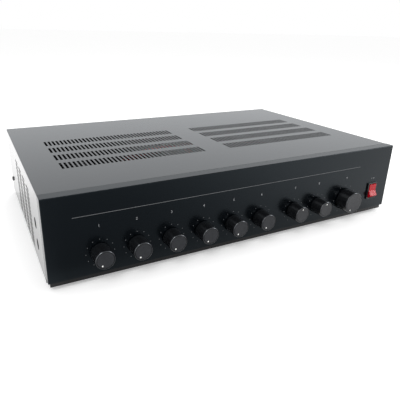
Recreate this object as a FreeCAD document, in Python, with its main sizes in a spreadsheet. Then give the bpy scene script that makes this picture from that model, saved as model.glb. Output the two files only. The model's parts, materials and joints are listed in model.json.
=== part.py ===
"""A desk or rack mixer amplifier: a low steel case with nine rotary controls and a red power switch.

The frame is in millimetres: X to the right, Y to the rear, Z up. The origin is below the middle of the
whole object, on the surface that the rubber feet stand on.
"""
import FreeCAD, Part
import math
import os
import re
import Sketcher

VECTOR = FreeCAD.Vector

# Driving dimensions: name, value in millimetres or degrees or a count, and what it is.
SIZES = [
    ("body_width", 420, "outer width of the cover and of the front panel"),
    ("body_depth", 268, "front panel's face to the rear panel's outer face"),
    ("body_height", 84, "casing without its feet"),
    ("foot_height", 5, "rubber foot"),
    ("knob_reach", 16, "front panel's face to a knob's face"),
    ("rear_reach", 12, "rear panel's face to the speaker terminals' outer edge"),
    ("cover_wall", 1.2, "sheet of the top cover"),
    ("panel_wall", 1.5, "sheet of the front panel"),
    ("chassis_wall", 1.2, "sheet of the chassis pan"),
    ("subpanel_wall", 1.2, "sheet of the front subpanel"),
    ("rear_wall", 1.5, "sheet of the rear panel"),
    ("sheet_gap", 0.3, "clearance between bent sheets"),
    ("bend_round", 1.2, "outer radius of the cover's bends"),
    ("flange_depth", 11, "top and side returns of the front panel"),
    ("panel_lift", 5, "front panel's lower edge above the casing's underside"),
    ("edge_round", 0.7, "outer edges of the front panel"),
    ("lip_setback", 2.2, "front lip behind the front panel's face"),
    ("lip_height", 13, "front lip of the chassis pan"),
    ("pan_flange", 15, "side flanges of the chassis pan"),
    ("bottom_flange", 13, "lower flange of the subpanel, along Y"),
    ("top_flange", 16, "upper flange of the subpanel, along Y"),
    ("side_return", 56, "rear edge of the subpanel's side returns, behind the face"),
    ("return_top", 76, "upper edge of the subpanel's side returns"),
    ("rear_flange", 25, "side flanges of the rear panel, along Y"),
    ("slot_width", 2.5, "ventilation slot"),
    ("slot_length", 19.5, "ventilation slot"),
    ("slot_pitch", 4.5, "slot to slot on the top"),
    ("slot_count", 36, "slots in a row of one bank"),
    ("row_pitch", 30, "row to row on the top, and column to column on a side"),
    ("row_count", 4, "rows in a bank, and columns on a side"),
    ("bank_inner", 17, "middle of the top to the first slot of a bank"),
    ("first_row", 71, "front panel's face to the first row of slots"),
    ("vent_pitch", 4.5, "slot to slot on a side"),
    ("vent_count", 14, "slots in a column of a side"),
    ("vent_bottom", 6.5, "lowest side slot above the casing's underside"),
    ("ear_place", 43.5, "rack ear screws behind the face"),
    ("ear_low", 23, "lower rack ear screw above the casing's underside"),
    ("ear_spacing", 22, "between the two rack ear screws of a side"),
    ("ear_access", 5.5, "radius of the cover's hole over a rack ear nut"),
    ("ear_thread", 2.1, "core radius of a rack ear nut's thread"),
    ("ear_nut_radius", 4, "head of a rack ear nut"),
    ("ear_nut_head", 4, "thickness of a rack ear nut's head"),
    ("cover_screw_in", 15, "cover screws ahead of the rear panel's face"),
    ("cover_screw_low", 19.5, "cover screws above the casing's underside"),
    ("screw_head", 2.9, "radius of a small screw's head"),
    ("screw_head_depth", 1.9, "height of a small screw's head"),
    ("screw_shank", 1.5, "radius of a small screw's shank"),
    ("screw_play", 0.1, "radial clearance of a screw in its hole"),
    ("screw_length", 7, "shank of a small screw"),
    ("strap_screw", 3.6, "shank of a transformer strap's screw"),
    ("foot_inset", 38, "casing's sides, front and rear to a foot's axis"),
    ("foot_radius", 9, "foot at the floor"),
    ("foot_flare", 1, "how much wider the foot is at the casing"),
    ("foot_recess", 4, "radius of the recess for the foot's screw"),
    ("foot_web", 2, "rubber above the recess"),
    ("knob_height", 25.5, "control shafts above the casing's underside"),
    ("input_count", 6, "input controls"),
    ("knob_first", 163, "middle of the casing to the first input control"),
    ("knob_pitch", 35, "control to control"),
    ("tone_place", 58, "middle of the casing to the bass control"),
    ("master_place", 137, "middle of the casing to the master control"),
    ("knob_gap", 0.8, "knob's back to the front panel's face"),
    ("knob_radius", 9.5, "small knob at its back"),
    ("master_radius", 13.25, "master knob at its back"),
    ("knob_taper", 0.5, "how much smaller the knob's face is in radius"),
    ("knob_rim", 1.1, "rounding of the knob's rim"),
    ("knob_recess", 5, "radius of the recess in the knob's back"),
    ("knob_recess_depth", 1.8, "depth of that recess"),
    ("dot_radius", 0.9, "pointer dot on the knob's face"),
    ("dot_inset", 3.4, "pointer dot's centre in from the knob's edge"),
    ("dot_depth", 0.3, "pointer dot's dimple"),
    ("minimum_turn", -150, "pointer at its minimum, from straight up, clockwise positive"),
    ("shaft_radius", 3, "control shaft"),
    ("shaft_play", 0.03, "radial clearance of the shaft in its bushing and its knob"),
    ("shaft_flat", 1.6, "flat of the D-shaft from its axis"),
    ("shaft_cover", 3, "knob's face to the shaft's end"),
    ("shaft_seat", 5, "how far the shaft runs into the control's case"),
    ("bushing_radius", 3.5, "threaded bushing of a control"),
    ("bushing_reach", 1.2, "bushing's end ahead of the front panel's face"),
    ("panel_hole", 4.6, "radius of the front panel's hole round a bushing"),
    ("pot_width", 17, "case of a control"),
    ("pot_depth", 9, "case of a control, along Y"),
    ("pot_nut_radius", 5.8, "across the corners of a control's nut, halved"),
    ("pot_nut_depth", 1.8, "thickness of a control's nut"),
    ("board_wall", 1.6, "circuit boards"),
    ("board_gap", 0.4, "between the controls' cases and their board"),
    ("control_board_low", 8, "lower edge of the control board"),
    ("control_board_high", 54, "upper edge of the control board"),
    ("stud_in", 14, "panel's sides to a panel stud"),
    ("stud_low", 20, "lower panel studs above the casing's underside"),
    ("stud_high", 70, "upper panel studs above the casing's underside"),
    ("stud_radius", 2, "panel stud"),
    ("stud_collar", 3.4, "shoulder of a panel stud"),
    ("stud_length", 5, "panel stud behind the subpanel"),
    ("stud_nut_radius", 4, "across the corners of a stud's nut, halved"),
    ("stud_nut_depth", 3.2, "thickness of a stud's nut"),
    ("switch_in", 27, "panel's right side to the middle of the power switch"),
    ("switch_height", 29, "power switch above the casing's underside"),
    ("bezel_width", 15, "power switch bezel"),
    ("bezel_height", 21, "power switch bezel"),
    ("bezel_depth", 1.8, "power switch bezel"),
    ("switch_width", 13.2, "power switch body"),
    ("switch_tall", 19.4, "power switch body"),
    ("switch_depth", 16, "power switch body behind the face"),
    ("well_width", 11.6, "opening for the rocker"),
    ("well_tall", 18.4, "opening for the rocker"),
    ("well_depth", 12, "opening for the rocker, behind the face"),
    ("rocker_play", 0.3, "rocker's sides to its opening"),
    ("rocker_pivot", 1.3, "rocker's axis behind the face"),
    ("rocker_radius", 8.9, "rocker's ends round its axis"),
    ("rocker_crest", 5.5, "rocker's front edges ahead of its axis"),
    ("rocker_dip", 1.9, "how deep the rocker's face is hollowed"),
    ("rocker_back", 1.5, "rocker's back behind its axis"),
    ("rocker_lean", 13, "rocker's lean to either side"),
    ("axle_radius", 1.2, "rocker's stub axles"),
    ("axle_play", 0.04, "radial clearance of the axles"),
    ("axle_reach", 6.2, "middle of the rocker to an axle's end"),
    ("blade_length", 8, "switch and inlet connection blades"),
    ("mains_unit", 14, "sixth of the mains core's width"),
    ("mains_stack", 36, "mains core along Y"),
    ("mains_in", 78, "casing's right side to the middle of the mains transformer"),
    ("mains_rear", 78, "rear panel's face to the middle of the mains transformer"),
    ("output_unit", 11, "sixth of the output core's width"),
    ("output_stack", 30, "output core along Y"),
    ("output_place", 25, "middle of the casing to the output transformer"),
    ("output_rear", 68, "rear panel's face to the middle of the output transformer"),
    ("coil_gap", 0.4, "between a winding and its core"),
    ("strap_wall", 1.2, "transformer strap"),
    ("strap_width", 22, "transformer strap along Y"),
    ("strap_foot", 12, "transformer strap's foot along X"),
    ("sink_in", 69, "casing's left side to the heat sink's flat face"),
    ("sink_front", 62, "front panel's face to the heat sink"),
    ("sink_length", 118, "heat sink along Y"),
    ("sink_height", 66, "heat sink"),
    ("sink_base", 5, "heat sink's base"),
    ("fin_reach", 28, "heat sink's fins"),
    ("fin_wall", 1.8, "heat sink's fin"),
    ("fin_count", 15, "heat sink's fins"),
    ("power_board_side", 138, "middle of the casing to the power board's right edge"),
    ("power_board_front", 62, "front panel's face to the power board"),
    ("power_board_deep", 78, "power board along Y"),
    ("power_board_up", 11, "power board's underside above the casing's underside"),
    ("standoff_radius", 3, "board standoff"),
    ("standoff_in", 6, "board's edges to a standoff's axis"),
    ("device_width", 16, "output transistor along Y"),
    ("device_tall", 20, "output transistor"),
    ("device_wall", 5, "output transistor"),
    ("device_up", 30, "output transistor above the casing's underside"),
    ("device_first", 76, "front panel's face to the first output transistor"),
    ("device_count", 4, "output transistors"),
    ("device_pitch", 17, "transistor to transistor"),
    ("lead_wall", 0.8, "transistor lead"),
    ("capacitor_radius", 15, "main capacitor"),
    ("capacitor_tall", 62, "main capacitor"),
    ("capacitor_place", 58, "middle of the casing to the main capacitors"),
    ("capacitor_first", 84, "front panel's face to the first main capacitor"),
    ("capacitor_pitch", 33, "capacitor to capacitor"),
    ("capacitor_round", 1.5, "rounding of a capacitor's top"),
    ("relay_wide", 28, "output relay"),
    ("relay_deep", 12, "output relay"),
    ("relay_tall", 25, "output relay"),
    ("relay_place", 104, "middle of the casing to the relay and the rectifier"),
    ("relay_back", 82, "front panel's face to the relay"),
    ("rectifier_back", 118, "front panel's face to the rectifier"),
    ("rectifier_wall", 5, "bridge rectifier"),
    ("jack_in", 25, "casing's left side to the first microphone jack"),
    ("jack_count", 4, "microphone jacks"),
    ("jack_pitch", 28, "jack to jack"),
    ("jack_height", 34, "jacks above the casing's underside"),
    ("jack_bore", 3.25, "radius of a jack's bore"),
    ("jack_bushing", 5, "radius of a jack's threaded bushing"),
    ("jack_reach", 4.2, "bushing's end behind the rear panel"),
    ("jack_body", 18, "jack's case, across"),
    ("jack_deep", 26, "jack's case, along Y"),
    ("jack_nut_radius", 8, "across the corners of a jack's nut, halved"),
    ("jack_nut_depth", 2.4, "thickness of a jack's nut"),
    ("input_board_deep", 36, "input board along Y"),
    ("line_place", 56, "middle of the casing to the line sockets"),
    ("line_pitch", 18, "socket to socket"),
    ("barrel_radius", 4.15, "line socket's barrel"),
    ("barrel_wall", 0.5, "line socket's barrel"),
    ("barrel_reach", 9.5, "line socket's barrel behind the rear panel"),
    ("line_bore", 1.6, "radius of a line socket's centre hole"),
    ("line_bore_depth", 9, "depth of a line socket's centre hole"),
    ("line_block", 33, "line socket block, across and up"),
    ("line_block_deep", 12, "line socket block, along Y"),
    ("terminal_place", 15, "middle of the casing to the first speaker terminal"),
    ("terminal_pitch", 9.5, "terminal to terminal"),
    ("terminal_count", 6, "speaker terminals"),
    ("terminal_height", 34, "speaker terminals above the casing's underside"),
    ("terminal_tall", 17, "speaker terminal block"),
    ("terminal_base", 5, "speaker terminal block's base"),
    ("barrier_wall", 1.6, "wall between two speaker terminals"),
    ("terminal_tail", 7, "speaker terminal block ahead of the rear panel's face"),
    ("plate_wall", 0.8, "speaker terminal's plate"),
    ("inlet_in", 42, "casing's right side to the middle of the mains inlet"),
    ("inlet_height", 34, "mains inlet above the casing's underside"),
    ("inlet_width", 31, "mains inlet's flange"),
    ("inlet_tall", 24, "mains inlet's flange"),
    ("inlet_flange", 2.4, "mains inlet's flange"),
    ("inlet_body_width", 27.4, "mains inlet's case"),
    ("inlet_body_tall", 20.2, "mains inlet's case"),
    ("inlet_deep", 21, "mains inlet's case ahead of the rear panel's face"),
    ("socket_width", 24.4, "mains inlet's cavity"),
    ("socket_tall", 16.6, "mains inlet's cavity"),
    ("socket_deep", 15, "mains inlet's cavity ahead of the rear panel's face"),
    ("socket_corner", 4.2, "mains inlet's cut corners"),
    ("pin_width", 2, "mains pin along X"),
    ("pin_tall", 4, "mains pin"),
    ("pin_pitch", 7, "middle of the inlet to a side pin"),
    ("pin_drop", 2, "side pins below, and the middle pin above, the inlet's middle"),
    ("pin_length", 14, "mains pin in the cavity"),
    ("fuse_place", 122, "middle of the casing to the fuse holder"),
    ("fuse_height", 40, "fuse holder above the casing's underside"),
    ("fuse_body", 6.2, "radius of the fuse holder's case"),
    ("fuse_deep", 30, "fuse holder's case ahead of the rear panel's face"),
    ("fuse_floor", 2, "closed front end of the fuse holder"),
    ("fuse_flange", 8, "radius of the fuse holder's flange"),
    ("fuse_flange_depth", 2, "fuse holder's flange"),
    ("fuse_bore", 3.6, "radius of the fuse holder's bore"),
    ("fuse_cap_radius", 6.5, "fuse cap"),
    ("fuse_cap_reach", 10, "fuse cap's end behind the rear panel"),
    ("fuse_radius", 2.6, "fuse"),
    ("fuse_length", 20, "fuse"),
    ("coin_slot", 1.4, "slot across the fuse cap"),
    ("ribbon_width", 17, "ribbon cable"),
    ("ribbon_wall", 1, "ribbon cable"),
    ("ribbon_in", 13, "casing's left side to the ribbon cable's outer edge"),
    ("ribbon_stand", 3, "ribbon cable's bends from the edges and faces of the boards"),
    ("board_rim", 1, "control board beyond the ribbon cable's edge"),
    ("ribbon_lift", 1.6, "ribbon cable above the chassis floor"),
    ("red_radius", 1.1, "red output wire"),
    ("red_count", 3, "red output wires"),
    ("red_pitch", 3.4, "red wire to red wire"),
    ("mains_lead_radius", 1.3, "mains lead"),
    ("mains_lead_pitch", 3.2, "mains lead to mains lead"),
    ("mains_lead_in", 18, "casing's right side to the first mains lead"),
]
NAMES = {name for name, value, note in SIZES}

# Places that several pieces share, as expressions of the sizes.
FACE = "(knob_reach - (knob_reach + body_depth + rear_reach) / 2)"
BACK = f"({FACE} + body_depth)"
BASE = "foot_height"
TOP = "(foot_height + body_height)"
FLOOR = "(foot_height + chassis_wall)"
HALF = "(body_width / 2)"
PAN_SIDE = "(body_width / 2 - panel_wall - sheet_gap)"
UNDER_COVER = f"({TOP} - panel_wall - sheet_gap)"
SUB_FRONT = "(lip_setback + chassis_wall)"
SUB_REAR = "(lip_setback + chassis_wall + subpanel_wall)"
POT_REAR = f"({SUB_REAR} + pot_depth)"
JACK_FLOOR = "(jack_height - jack_body / 2)"
BOARD_TOP = "(power_board_up + board_wall)"
SWITCH = f"({HALF} - switch_in)"
SINK_FACE = f"(sink_in - {HALF})"
RIBBON = f"(ribbon_in - {HALF})"
INLET = f"({HALF} - inlet_in)"
MAINS = f"({HALF} - mains_in)"

document = FreeCAD.newDocument("mixer_amplifier")
sheet = document.addObject("Spreadsheet::Sheet", "Sizes")
for row, (name, value, note) in enumerate(SIZES, start=1):
    sheet.set(f"A{row}", name)
    sheet.set(f"B{row}", str(value))
    sheet.set(f"C{row}", note)
    sheet.setAlias(f"B{row}", name)
document.recompute()

finished = []


def tied(text):
    """An expression with the sheet's name put before each of its sizes."""
    words = r"[a-z][a-z0-9_]*"
    return re.sub(words, lambda word: f"Sizes.{word[0]}" if word[0] in NAMES else word[0], str(text))


def size(text):
    """The value of an expression of the sizes, as a number."""
    return float(sheet.evalExpression(tied(text)))


def behind(text):
    """A place measured back from the front panel's face."""
    return f"({FACE} + ({text}))"


def ahead(text):
    """A place measured forward from the rear panel's outer face."""
    return f"({BACK} - ({text}))"


def above(text):
    """A height measured from the casing's underside."""
    return f"({BASE} + ({text}))"


def count(text):
    """A whole number from the sheet."""
    return int(size(text))


def around(centre, half):
    """A low and a high place, the same way to both sides of a centre."""
    return f"({centre}) - ({half})", f"({centre}) + ({half})"


def bind(solid, places):
    """Tie a solid's place to three expressions."""
    for letter, text in zip("xyz", places):
        solid.setExpression(f".Placement.Base.{letter}", tied(text))
    return solid


def block(x, y, z):
    """A box from its low and high faces along each axis."""
    solid = document.addObject("Part::Box", "Block")
    for side, (low, high) in zip(("Length", "Width", "Height"), (x, y, z)):
        solid.setExpression(side, tied(f"({high}) - ({low})"))
    return bind(solid, (x[0], y[0], z[0]))


TURNS = {
    "x": FreeCAD.Rotation(VECTOR(0, 1, 0), 90),
    "y": FreeCAD.Rotation(VECTOR(1, 0, 0), -90),
    "z": FreeCAD.Rotation(),
}


def along(solid, axis, span, across):
    """Lay a solid that was made along Z on another axis, between two ends."""
    low, high = span
    solid.setExpression("Height", tied(f"({high}) - ({low})"))
    solid.Placement = FreeCAD.Placement(VECTOR(), TURNS[axis])
    others = iter(across)
    return bind(solid, [low if letter == axis else next(others) for letter in "xyz"])


def rod(axis, radius, span, across):
    """A cylinder: its axis, its radius, its two ends, and where its axis lies across."""
    solid = document.addObject("Part::Cylinder", "Rod")
    solid.setExpression("Radius", tied(radius))
    return along(solid, axis, span, across)


def cone(axis, radii, span, across):
    """A cone: its axis, its radii at its two ends, those ends, and where its axis lies across."""
    solid = document.addObject("Part::Cone", "Cone")
    solid.setExpression("Radius1", tied(radii[0]))
    solid.setExpression("Radius2", tied(radii[1]))
    return along(solid, axis, span, across)


def hexagon(axis, radius, span, across):
    """A hexagonal bar: its axis, its radius over the corners, its ends and its place."""
    solid = document.addObject("Part::Prism", "Hexagon")
    solid.Polygon = 6
    solid.setExpression("Circumradius", tied(radius))
    return along(solid, axis, span, across)


def group(*solids):
    """Separate solids held together as one object."""
    if len(solids) == 1:
        return solids[0]
    made = document.addObject("Part::Compound", "Group")
    made.Links = list(solids)
    return made


def join(*solids):
    """Solids fused into one."""
    made = document.addObject("Part::MultiFuse", "Join")
    made.Shapes = list(solids)
    made.Refine = True
    return made


def cut(base, *tools):
    """A solid with other solids taken out of it. The tools may touch but don't overlap."""
    made = document.addObject("Part::Cut", "Cut")
    made.Base = base
    made.Tool = group(*tools)
    return made


def finish(label, made):
    """Name a sub-part."""
    made.Label = label
    finished.append(made)
    return made


def origin(body, role):
    """One of a body's own planes or axes."""
    return next(item for item in body.Origin.OriginFeatures if item.Role == role)


def outline(body, plane, points, offset="0"):
    """A closed sketch through points, each tied to the sizes, on one of the body's planes."""
    sketch = body.newObject("Sketcher::SketchObject", "Outline")
    sketch.AttachmentSupport = (origin(body, plane), [""])
    sketch.MapMode = "FlatFace"
    sketch.setExpression(".AttachmentOffset.Base.z", tied(offset))
    corners = [VECTOR(size(across), size(up), 0) for across, up in points]
    for start, end in zip(corners, corners[1:] + corners[:1]):
        sketch.addGeometry(Part.LineSegment(start, end))
    for index, (across, up) in enumerate(points):
        sketch.addConstraint(Sketcher.Constraint("Coincident", index, 2, (index + 1) % len(points), 1))
        for kind, text in (("DistanceX", across), ("DistanceY", up)):
            place = sketch.addConstraint(Sketcher.Constraint(kind, -1, 1, index, 1, size(text)))
            sketch.setExpression(f"Constraints[{place}]", tied(text))
    return sketch


def rectangle(across, up):
    """The corners of a rectangle from its low and high places."""
    return [(across[0], up[0]), (across[1], up[0]), (across[1], up[1]), (across[0], up[1])]


def pad(body, plane, points, length, offset="0", reversed_way=False):
    """Material along the plane's normal, under an outline."""
    made = body.newObject("PartDesign::Pad", "Pad")
    made.Profile = outline(body, plane, points, offset)
    made.setExpression("Length", tied(length))
    made.Reversed = reversed_way
    return made


def soften(body, feature, radius, chosen):
    """Round those edges of a feature that a test chooses."""
    document.recompute()
    names = [f"Edge{place}" for place, edge in enumerate(feature.Shape.Edges, start=1) if chosen(edge)]
    made = body.newObject("PartDesign::Fillet", "Round")
    made.Base = (feature, names)
    made.setExpression("Radius", tied(radius))
    return made


def lies(edge, **places):
    """Whether an edge lies in the planes given as x, y or z."""
    return all(
        abs(getattr(vertex.Point, letter) - size(text)) < 0.01
        for letter, text in places.items()
        for vertex in edge.Vertexes
    )


def new_body(name):
    """An empty body."""
    return document.addObject("PartDesign::Body", name)


def lead(points, radius):
    """A wire: straight runs joined by arcs that touch both runs, each as large as the runs allow."""
    places = [VECTOR(*(size(text) for text in point)) for point in points]
    edges = []
    start = places[0]
    for before, corner, after in zip(places, places[1:], places[2:]):
        entry = (before - corner).normalize()
        leave = (after - corner).normalize()
        turn = math.pi - entry.getAngle(leave)
        reach = 0.45 * min(corner.distanceToPoint(before), corner.distanceToPoint(after))
        middle = (entry + leave).normalize()
        bend = reach / math.tan(turn / 2)
        centre = corner + middle * math.hypot(reach, bend)
        first, last = corner + entry * reach, corner + leave * reach
        edges.append(Part.LineSegment(start, first).toShape())
        edges.append(Part.Arc(first, centre - middle * bend, last).toShape())
        start = last
    edges.append(Part.LineSegment(start, places[-1]).toShape())
    path = Part.Wire(edges)
    ring = Part.Wire(Part.makeCircle(size(radius), places[0], places[1] - places[0]))
    return path.makePipeShell([ring], True, True)


def wires(label, routes, radius):
    """Several wires as one sub-part."""
    made = document.addObject("Part::Feature", "Wires")
    made.Shape = Part.makeCompound([lead(route, radius) for route in routes])
    return finish(label, made)


def screw(axis, way, seat, across, length="screw_length"):
    """A small screw: the way its head points along the axis, its seat, its place and its shank."""
    head = (seat, f"{seat} + screw_head_depth") if way > 0 else (f"{seat} - screw_head_depth", seat)
    shank = (f"{seat} - {length}", seat) if way > 0 else (seat, f"{seat} + {length}")
    return join(rod(axis, "screw_head", head, across), rod(axis, "screw_shank", shank, across))


def screw_hole(axis, span, across):
    """A hole that a small screw passes."""
    return rod(axis, "screw_shank + screw_play", span, across)


# Places of what repeats.
FEET = [
    (side, place)
    for side in (f"foot_inset - {HALF}", f"{HALF} - foot_inset")
    for place in (behind("foot_inset"), ahead("foot_inset"))
]
CONTROLS = [(f"input_{number + 1}", f"{number} * knob_pitch - knob_first") for number in range(count("input_count"))]
CONTROLS += [("bass", "tone_place"), ("treble", "tone_place + knob_pitch"), ("master", "master_place")]
TONES = ("bass", "treble")
STUDS = [
    (side, above(height))
    for side in (f"stud_in - {HALF}", f"{HALF} - stud_in")
    for height in ("stud_low", "stud_high")
]
EARS = [above("ear_low"), above("ear_low + ear_spacing")]
JACKS = [f"(jack_in - {HALF} + {number} * jack_pitch)" for number in range(count("jack_count"))]
LINES = [
    (f"{column} * line_pitch - line_place", above(f"{JACK_FLOOR} + line_block / 2 + ({row}) * line_pitch / 2"))
    for column in (0, 1)
    for row in (-1, 1)
]
BOARD_STANDS = [
    (place, behind(depth))
    for place in (f"{SINK_FACE} + sheet_gap + standoff_in", "0", "power_board_side - standoff_in")
    for depth in ("power_board_front + standoff_in", "power_board_front + power_board_deep - standoff_in")
]
INPUT_STANDS = [(place, ahead("input_board_deep - standoff_in + rear_wall"))
                for place in (f"{JACKS[0]} + jack_pitch / 2", "0 - line_place - line_pitch / 2")]
TRANSFORMERS = [
    ("mains", "mains_unit", "mains_stack", MAINS, ahead("mains_rear")),
    ("output", "output_unit", "output_stack", "output_place", ahead("output_rear")),
]
STRAP_SCREWS = [
    (f"{place} {sign} (3 * {unit} + strap_wall + sheet_gap + strap_foot / 2)", depth)
    for name, unit, stack, place, depth in TRANSFORMERS
    for sign in "-+"
]


def make_chassis_pan():
    """Floor, front lip and side flanges of one bent sheet."""
    floor = block(around("0", PAN_SIDE), (behind("lip_setback"), BACK), (BASE, FLOOR))
    lip = block(around("0", PAN_SIDE), (behind("lip_setback"), behind(SUB_FRONT)), (BASE, above("lip_height")))
    flanges = [
        block(span, (behind(SUB_REAR), ahead("rear_wall")), (BASE, above("pan_flange")))
        for span in ((f"0 - {PAN_SIDE}", f"chassis_wall - {PAN_SIDE}"), (f"{PAN_SIDE} - chassis_wall", PAN_SIDE))
    ]
    through = (f"{BASE} - 1", f"{FLOOR} + 1")
    holes = [screw_hole("z", through, place) for place in FEET + BOARD_STANDS + INPUT_STANDS + STRAP_SCREWS]
    finish("chassis_pan", cut(join(floor, lip, *flanges), *holes))


def make_front_subpanel():
    """The bent plate behind the front panel, which carries the controls and has the rack ears' press nuts."""
    wall_top = UNDER_COVER
    wall = block(around("0", PAN_SIDE), (behind(SUB_FRONT), behind(SUB_REAR)), (FLOOR, wall_top))
    inner = f"({PAN_SIDE} - chassis_wall - sheet_gap)"
    low = block(around("0", inner), (behind(SUB_REAR), behind(f"{SUB_REAR} + bottom_flange")),
                (FLOOR, f"{FLOOR} + subpanel_wall"))
    high = block(around("0", inner), (behind(SUB_REAR), behind(f"{SUB_REAR} + top_flange")),
                 (f"{wall_top} - subpanel_wall", wall_top))
    returns = [
        block(span, (behind(SUB_REAR), behind("side_return")), (above("pan_flange + sheet_gap"), above("return_top")))
        for span in ((f"0 - {PAN_SIDE}", f"subpanel_wall - {PAN_SIDE}"), (f"{PAN_SIDE} - subpanel_wall", PAN_SIDE))
    ]
    through = (behind(f"{SUB_FRONT} - 1"), behind(f"{SUB_REAR} + 1"))
    holes = [
        rod("y", "bushing_radius + screw_play", through, (place, above("knob_height")))
        for name, place in CONTROLS
    ]
    holes += [rod("y", "stud_radius + screw_play", through, place) for place in STUDS]
    holes.append(block(around(SWITCH, "switch_width / 2 + sheet_gap"), through,
                       around(above("switch_height"), "switch_tall / 2 + sheet_gap")))
    nuts = []
    inner = f"({PAN_SIDE} - subpanel_wall)"
    for height in EARS:
        across = (behind("ear_place"), height)
        nuts.append(rod("x", "ear_nut_radius", (f"{inner} - ear_nut_head", inner), across))
        nuts.append(rod("x", "ear_nut_radius", (f"0 - {inner}", f"ear_nut_head - {inner}"), across))
        holes.append(rod("x", "ear_thread", (f"{inner} - ear_nut_head - 1", f"{PAN_SIDE} + 1"), across))
        holes.append(rod("x", "ear_thread", (f"0 - {PAN_SIDE} - 1", f"ear_nut_head - {inner} + 1"), across))
    finish("front_subpanel", cut(join(wall, low, high, *returns, *nuts), *holes))


def make_front_panel():
    """A bent tray, open below and behind, with studs welded to its back."""
    body = new_body("Panel")
    front = pad(body, "XZ_Plane", rectangle(around("0", HALF), (above("panel_lift"), TOP)), "flange_depth",
                reversed_way=True)
    soften(body, front, "edge_round", lambda edge: lies(edge, y="0") and not lies(edge, z=above("panel_lift")))
    bind(body, ("0", FACE, "0"))
    hollow = block(around("0", f"{HALF} - panel_wall"), (behind("panel_wall"), behind("flange_depth + 1")),
                   (f"{BASE} - 1", f"{TOP} - panel_wall"))
    through = (behind("0 - 1"), behind("panel_wall"))
    holes = [rod("y", "panel_hole", through, (place, above("knob_height"))) for name, place in CONTROLS]
    holes.append(block(around(SWITCH, "switch_width / 2 + screw_play"), through,
                       around(above("switch_height"), "switch_tall / 2 + screw_play")))
    studs = []
    for place in STUDS:
        studs.append(rod("y", "stud_collar", (behind("panel_wall"), behind(SUB_FRONT)), place))
        studs.append(rod("y", "stud_radius", (behind(SUB_FRONT), behind(f"{SUB_REAR} + stud_length")), place))
    finish("front_panel", join(cut(body, hollow, *holes), *studs))
    nuts = []
    for place in STUDS:
        span = (behind(SUB_REAR), behind(f"{SUB_REAR} + stud_nut_depth"))
        nuts.append(cut(hexagon("y", "stud_nut_radius", span, place),
                        rod("y", "stud_radius + screw_play / 2", span, place)))
    finish("panel_nuts", group(*nuts))


def make_top_cover():
    """An inverted U of thin sheet, with two banks of slots on top and vents in both sides."""
    body = new_body("Cover")
    front = "flange_depth + sheet_gap"
    inner = f"{HALF} - cover_wall"
    section = [
        (f"0 - {HALF}", BASE), (f"cover_wall - {HALF}", BASE), (f"cover_wall - {HALF}", f"{TOP} - cover_wall"),
        (inner, f"{TOP} - cover_wall"), (inner, BASE), (HALF, BASE), (HALF, TOP), (f"0 - {HALF}", TOP),
    ]
    sheet_metal = pad(body, "XZ_Plane", section, f"body_depth - ({front})", f"0 - ({front})", True)
    soften(body, sheet_metal, "bend_round", lambda edge: lies(edge, z=TOP)
                   and (lies(edge, x=HALF) or lies(edge, x=f"0 - {HALF}")))
    bind(body, ("0", FACE, "0"))
    through = (f"0 - {HALF} - 1", f"{HALF} + 1")
    holes = [rod("x", "ear_access", through, (behind("ear_place"), height)) for height in EARS]
    holes.append(screw_hole("x", through, (ahead("cover_screw_in"), above("cover_screw_low"))))
    finish("top_cover", cut(body, ventilation(), *holes))


def ventilation():
    """What the ventilation slots take away: a box for each slot on top, and one across both sides."""
    width, length, deep = size("slot_width"), size("slot_length"), size("2 * cover_wall")
    rows = [size(f"{behind('first_row')} + {row} * row_pitch") for row in range(count("row_count"))]
    across = [size(f"bank_inner + {slot} * slot_pitch") for slot in range(count("slot_count"))]
    starts = across + [-start - width for start in across]
    levels = [size(f"{above('vent_bottom')} + {vent} * vent_pitch") for vent in range(count("vent_count"))]
    low, side, span = size(f"{TOP} - cover_wall * 1.5"), size(f"0 - {HALF} - 1"), size("body_width + 2")
    boxes = [Part.makeBox(width, length, deep, VECTOR(start, row, low)) for start in starts for row in rows]
    boxes += [Part.makeBox(span, length, width, VECTOR(side, row, level)) for level in levels for row in rows]
    made = document.addObject("Part::Feature", "Slots")
    made.Shape = Part.makeCompound(boxes)
    return made


def make_rear_panel():
    """A flat plate with side flanges, and the holes of what it carries."""
    plate = block(around("0", PAN_SIDE), (ahead("rear_wall"), BACK), (FLOOR, UNDER_COVER))
    flanges = [
        block(span, (ahead("rear_flange"), ahead("rear_wall")), (above("pan_flange + sheet_gap"), UNDER_COVER))
        for span in ((f"0 - {PAN_SIDE}", f"rear_wall - {PAN_SIDE}"), (f"{PAN_SIDE} - rear_wall", PAN_SIDE))
    ]
    through = (ahead("rear_wall + 1"), ahead("0 - 1"))
    holes = [rod("y", "jack_bushing + screw_play", through, (place, above("jack_height"))) for place in JACKS]
    holes += [rod("y", "barrel_radius + screw_play", through, place) for place in LINES]
    holes.append(rod("y", "fuse_body + screw_play", through, ("fuse_place", above("fuse_height"))))
    holes.append(block(around(INLET, "inlet_body_width / 2 + screw_play"), through,
                       around(above("inlet_height"), "inlet_body_tall / 2 + screw_play")))
    holes.append(block(terminal_span("terminal_pitch / 4"), through,
                       around(above("terminal_height"), "terminal_tall / 4")))
    left = (f"0 - {PAN_SIDE} - 1", f"rear_wall - {PAN_SIDE} + 1")
    right = (f"{PAN_SIDE} - rear_wall - 1", f"{PAN_SIDE} + 1")
    for span in (left, right):
        holes.append(screw_hole("x", span, (ahead("cover_screw_in"), above("cover_screw_low"))))
    finish("rear_panel", cut(join(plate, *flanges), *holes))


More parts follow.
